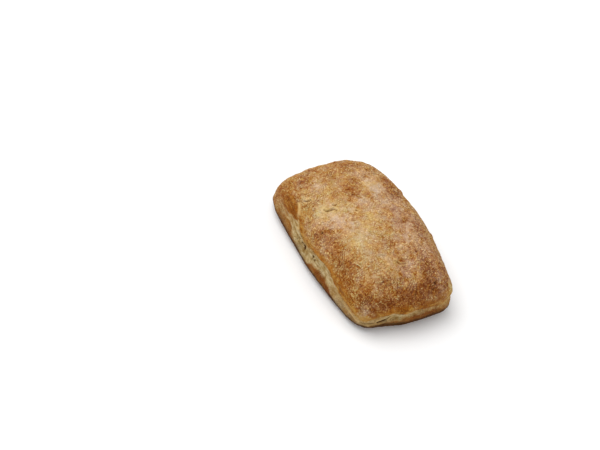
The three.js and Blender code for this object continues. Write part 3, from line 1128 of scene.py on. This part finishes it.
class BakedBread(Material):
    """Crust, flour, crumb and underside, each where the mesh's masks put it."""

    def __init__(self, name):
        super().__init__(name)
        self.place = self.add("TexCoord").outputs["Object"]
        self.fine = self.noise(1.5, 3, 1.0, stretch=(1.0, 0.7, 1.0))
        self.bright = self.spread(self.noise(0.95, 6, 1.0), 0.54, 0.68)
        self.flake = self.noise(5.0, 11, 2.0, 0.6, stretch=(1.0, 0.8, 1.0))
        self.torn = self.spread(self.noise(3.2, 12, 1.0), 0.48, 0.60)
        self.strands = self.noise(1.8, 8, 3.0, 0.6, stretch=(0.45, 0.45, 1.0))
        self.strip = self.total(self.mask("band"), self.mask("foot"))
        self.open_crust = self.maths("ADD", self.times(self.strip, -STRIP_FLOUR_LOSS), 1.0)
        # brownness of the crust, with painted shade in the hollows and along the +Y rim
        self.browned_and_shaded = self.browning_and_shade()
        self.crinkle = self.wrinkles()
        self.veil = self.flour_veil()

    def noise(self, size_mm, seed, detail, roughness=0.5, stretch=(1.0, 1.0, 1.0)):
        """Noise from 0 to 1, about even, with lumps of size_mm divided by the stretch."""
        place = self.add("Mapping", {"Vector": self.place, "Scale": stretch}).outputs["Vector"]
        inputs = {
            "Vector": place,
            "W": float(seed),
            "Scale": 1.0 / (size_mm * MM),
            "Detail": detail,
            "Roughness": roughness,
        }
        return self.add("TexNoise", inputs, noise_dimensions="4D").outputs["Fac"]

    def along(self, direction):
        """How far each place lies along a direction."""
        inputs = {0: self.place, 1: direction}
        return self.add("VectorMath", inputs, operation="DOT_PRODUCT").outputs["Value"]

    def browning_and_shade(self):
        """How brown the crust is baked, before its small spots and lines, with painted shade in
        its hollows and along the +Y rim.
        """
        broad = self.spread(self.noise(11.0, 1, 2.0), 0.3, 0.7, -0.12, 0.12)
        medium = self.spread(self.noise(4.0, 2, 2.0, 0.6), 0.36, 0.64, -0.06, 0.06)
        # painted shade: browner where the crust's relief sinks
        sunk_shade = self.times(self.mask("hollow"), 0.06)
        return self.total(self.mask("browning_and_shade"), broad, medium, sunk_shade)

    def wrinkles(self):
        """Fine wrinkles side by side that sway, and fade in and out."""
        across_them = [math.tau / (WRINKLE_SPACING * MM) * part for part in WRINKLE_AXIS]
        swirl = self.noise(6.5, 14, 0.0, stretch=(1.0, 0.8, 1.0))
        phase = self.total(
            self.along(across_them),
            self.times(swirl, WRINKLE_BROAD_SWAY),
            self.times(self.fine, WRINKLE_FINE_SWAY),
        )
        patchy = self.spread(self.noise(9.0, 15, 1.0), 0.42, 0.58, 0.02, 0.14)
        return self.times(self.maths("SINE", phase), self.times(patchy, self.mask("wrinkled")))

    def marks_and_relief_shade(self):
        """Small spots and lines in the crust's brownness, below 0 where they are paler, with
        painted highlights and shade along the wrinkles and the flakes' edges.
        """
        # painted highlight on one side of a flake's edge and painted shade on the other
        painted_rim_highlight = self.times(self.bell(self.flake, 0.535, 0.045), self.torn)
        painted_rim_shade = self.times(self.bell(self.flake, 0.465, 0.045), self.torn)
        speckled = self.spread(self.noise(8.0, 13, 1.0), 0.4, 0.6, -0.22, -0.44)
        grit = self.spread(self.noise(1.1, 7, 1.0), 0.33, 0.46, 1.0, 0.0)
        return self.total(
            # painted highlight on the wrinkles' crests and painted shade in their troughs
            self.times(self.crinkle, -1.0),
            # painted highlight and painted shade on either side of fine relief edges
            self.times(self.bell(self.fine, 0.55, 0.07), -0.19),
            self.times(self.bell(self.fine, 0.45, 0.07), 0.17),
            self.times(self.bright, speckled),
            self.times(grit, self.spread(self.browned_and_shaded, 0.2, 0.8, 0.08, 0.20)),
            # painted highlight above the flakes' edges and painted shade below them
            self.times(painted_rim_highlight, -0.20),
            self.times(painted_rim_shade, 0.16),
        )

    def crust(self):
        """The baked crust without flour: top, golden band, brown lip, and toasted foot with
        painted contact shade; its fine relief carries painted highlights and shade.
        """
        marks_and_relief_shade = self.marks_and_relief_shade()
        plainly = self.times(
            self.spread(self.strip, 0.0, 1.0, 1.0, 0.6),
            self.spread(self.mask("browning_and_shade"), 0.2, 0.6, 0.7, 1.04),
        )
        bake = self.maths("ADD", self.browned_and_shaded, self.times(marks_and_relief_shade, plainly))
        crust = self.ramp(bake, CRUST_STOPS)
        streak = self.noise(2.6, 4, 2.0, stretch=(0.5, 0.5, 1.0))
        deeper = self.spread(self.mask("browning_and_shade"), 0.1, 0.9, -0.22, 0.22)
        toned = self.total(streak, self.times(marks_and_relief_shade, -0.35), self.times(deeper, -1.0))
        golden = self.ramp(self.spread(toned, 0.34, 0.66), BAND_STOPS)
        crust = self.blend(self.times(self.mask("band"), BAND_COVER), crust, golden)
        crust = self.blend(self.times(self.mask("foot"), LIP_COVER), crust, LIP)
        # Toasted foot, partly baked colour and partly painted contact shade.
        return self.blend(self.times(self.mask("scorch_and_contact_shade"), TOASTED_AND_SHADE_COVER), crust, TOASTED_AND_SHADE)

    def flour_veil(self):
        """How thickly flour lies, in clouds that hold better where the crust is pale."""
        cloudy = self.noise(4.0, 5, 4.0, 0.7)
        thicker = self.times(self.mask("flour"), 0.12)
        clouds = self.spread(self.total(cloudy, thicker), 0.46, 0.64)
        held = self.spread(self.browned_and_shaded, 0.45, 0.85, 1.0, 0.14)
        dusted = self.times(self.times(clouds, self.mask("flour")), held)
        return self.times(dusted, self.open_crust)

    def floured(self, crust):
        """The crust with flour over it and bright specks in that."""
        dusting = self.times(self.veil, self.spread(self.fine, 0.38, 0.60, 0.6, 0.8))
        crust = self.blend(dusting, crust, FLOUR)
        specks = self.times(self.bright, self.spread(self.veil, 0.0, 0.5, 0.08, 0.5))
        return self.blend(self.times(specks, self.open_crust), crust, SPECK)

    def tinted(self, crust):
        """The crust with warmer and cooler patches."""
        warm = self.spread(self.noise(6.0, 16, 2.0), 0.46, 0.58, 0.0, 0.7)
        crust = self.blend(warm, crust, ORANGE, "MULTIPLY")
        cool = self.spread(self.noise(7.0, 18, 2.0), 0.48, 0.60, 0.0, 0.6)
        return self.blend(self.times(cool, self.open_crust), crust, HAZE, "MULTIPLY")

    def crumb(self):
        """The torn crumb, with painted shade in its pores."""
        crumb = self.ramp(self.spread(self.strands, 0.34, 0.66), CRUMB_STOPS)
        # painted shade where the crumb sinks into pores
        return self.blend(self.times(self.mask("hollow"), PORE_SHADE_COVER), crumb, PORE_SHADE)

    def underside(self):
        """The floury base, with brown patches."""
        base = self.blend(self.spread(self.strands, 0.3, 0.7, 0.2, 0.8), UNDER, FLOUR)
        baked = self.spread(self.noise(9.0, 17, 3.0, 0.6), 0.46, 0.66, 0.0, 0.7)
        return self.blend(baked, base, LIP)

    def shown(self):
        """The colour that shows at each place."""
        crust = self.tinted(self.floured(self.crust()))
        shown = self.blend(self.mask("crumb"), crust, self.crumb())
        shown = self.blend(self.times(self.mask("pale"), PALE_FOLD_COVER), shown, PALE_FOLD)
        # Scorched foot, partly baked colour and partly painted contact shade.
        shown = self.blend(self.times(self.mask("scorch_and_contact_shade"), SCORCHED_AND_SHADE_COVER), shown, SCORCHED_AND_SHADE)
        shown = self.blend(self.mask("under"), shown, self.underside())
        # painted shade in the splits, pits and holes, tinted golden, deepest at their middles
        shown = self.blend(self.mask("opening_shade"), shown, OPENING_GOLD_AND_SHADE, "MULTIPLY")
        return self.blend(self.spread(self.mask("opening_shade"), 0.65, 0.95), shown, DEEP_SHADE)

    def grain(self):
        """The finest relief, for the bump."""
        return self.total(
            self.times(self.noise(1.1, 9, 2.0), 0.8),
            self.times(self.bright, 0.25),
            self.times(self.noise(0.45, 10, 1.0), 0.25),
            self.times(self.crinkle, 2.0),
            self.times(self.spread(self.flake, 0.46, 0.54), self.times(self.torn, 0.5)),
        )


def bread_material():
    bread = BakedBread("baked_bread")
    floury = bread.total(bread.veil, bread.bright)
    return bread.finish({
        "Base Color": bread.shown(),
        "Roughness": bread.spread(floury, 0.0, 1.0, 0.60, 0.92),
        "Normal": bread.bump(bread.grain(), GRAIN_HEIGHT_MM),
        "Specular IOR Level": SPECULAR,
    })


def plain_material(name, tint, roughness):
    return Material(name).finish({"Base Color": tint, "Roughness": roughness})


# ---- Floor, light and camera ---------------------------------------

def make_floor():
    half = FLOOR_HALF_SIZE
    corners = [(-half, -half, 0), (half, -half, 0), (half, half, 0), (-half, half, 0)]
    mesh = bpy.data.meshes.new("floor")
    mesh.from_pydata(corners, [], [(0, 1, 2, 3)])
    mesh.materials.append(plain_material("floor_paper", FLOOR_TINT, FLOOR_ROUGHNESS))
    floor = bpy.data.objects.new("floor", mesh)
    bpy.context.scene.collection.objects.link(floor)


def camera_axes():
    """The camera's right, up and backward directions."""
    azimuth, elevation, turn = map(
        math.radians, (CAMERA_AZIMUTH, CAMERA_ELEVATION, CAMERA_TURN)
    )
    back = Vector((
        math.sin(azimuth) * math.cos(elevation),
        -math.cos(azimuth) * math.cos(elevation),
        math.sin(elevation),
    ))
    level = Vector((math.cos(azimuth), math.sin(azimuth), 0.0))
    raised = back.cross(level)
    right = math.cos(turn) * level + math.sin(turn) * raised
    up = math.cos(turn) * raised - math.sin(turn) * level
    return right, up, back


def make_camera():
    """A camera that sees the roll as the photograph does, off the picture's middle."""
    right, up, back = camera_axes()
    pixels = LENS_MM / SENSOR_MM * IMAGE_WIDTH_PX
    aside = right * (AIM_RIGHT_PX / pixels) - up * (AIM_DOWN_PX / pixels)
    place = Vector((0.0, 0.0, AIM_HEIGHT_MM)) + CAMERA_DISTANCE_MM * (back - aside)
    data = bpy.data.cameras.new("camera")
    data.lens = LENS_MM
    data.sensor_width = SENSOR_MM
    data.sensor_fit = "HORIZONTAL"
    camera = bpy.data.objects.new("camera", data)
    camera.matrix_world = Matrix.Translation(place * MM) @ Matrix(
        (right, up, back)
    ).transposed().to_4x4()
    bpy.context.scene.collection.objects.link(camera)
    bpy.context.scene.camera = camera


def make_softbox():
    data = bpy.data.lights.new("softbox", "AREA")
    data.shape = "DISK"
    data.size = SOFTBOX_SIZE
    data.energy = SOFTBOX_WATTS
    light = bpy.data.objects.new("softbox", data)
    direction = Vector(SOFTBOX_DIRECTION)
    light.location = direction.normalized() * SOFTBOX_DISTANCE
    light.rotation_mode = "QUATERNION"
    light.rotation_quaternion = direction.to_track_quat("Z", "Y")
    bpy.context.scene.collection.objects.link(light)


def make_world():
    world = bpy.data.worlds.new("studio")
    world.use_nodes = True
    background = world.node_tree.nodes["Background"]
    background.inputs["Color"].default_value = (1.0, 1.0, 1.0, 1.0)
    background.inputs["Strength"].default_value = SKY_STRENGTH
    bpy.context.scene.world = world


# ---- The scene -----------------------------------------------------

make_camera()
make_world()
make_softbox()
make_floor()

points, quads, masks = shape_roll()
roll_piece = make_mesh("ciabatta_roll", fitted(points), quads, masks)
roll_piece.data.materials.append(bread_material())
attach(roll_piece, "root")
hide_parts(NODE)

bpy.context.scene.view_settings.view_transform = "Standard"

bpy.context.view_layer.update()
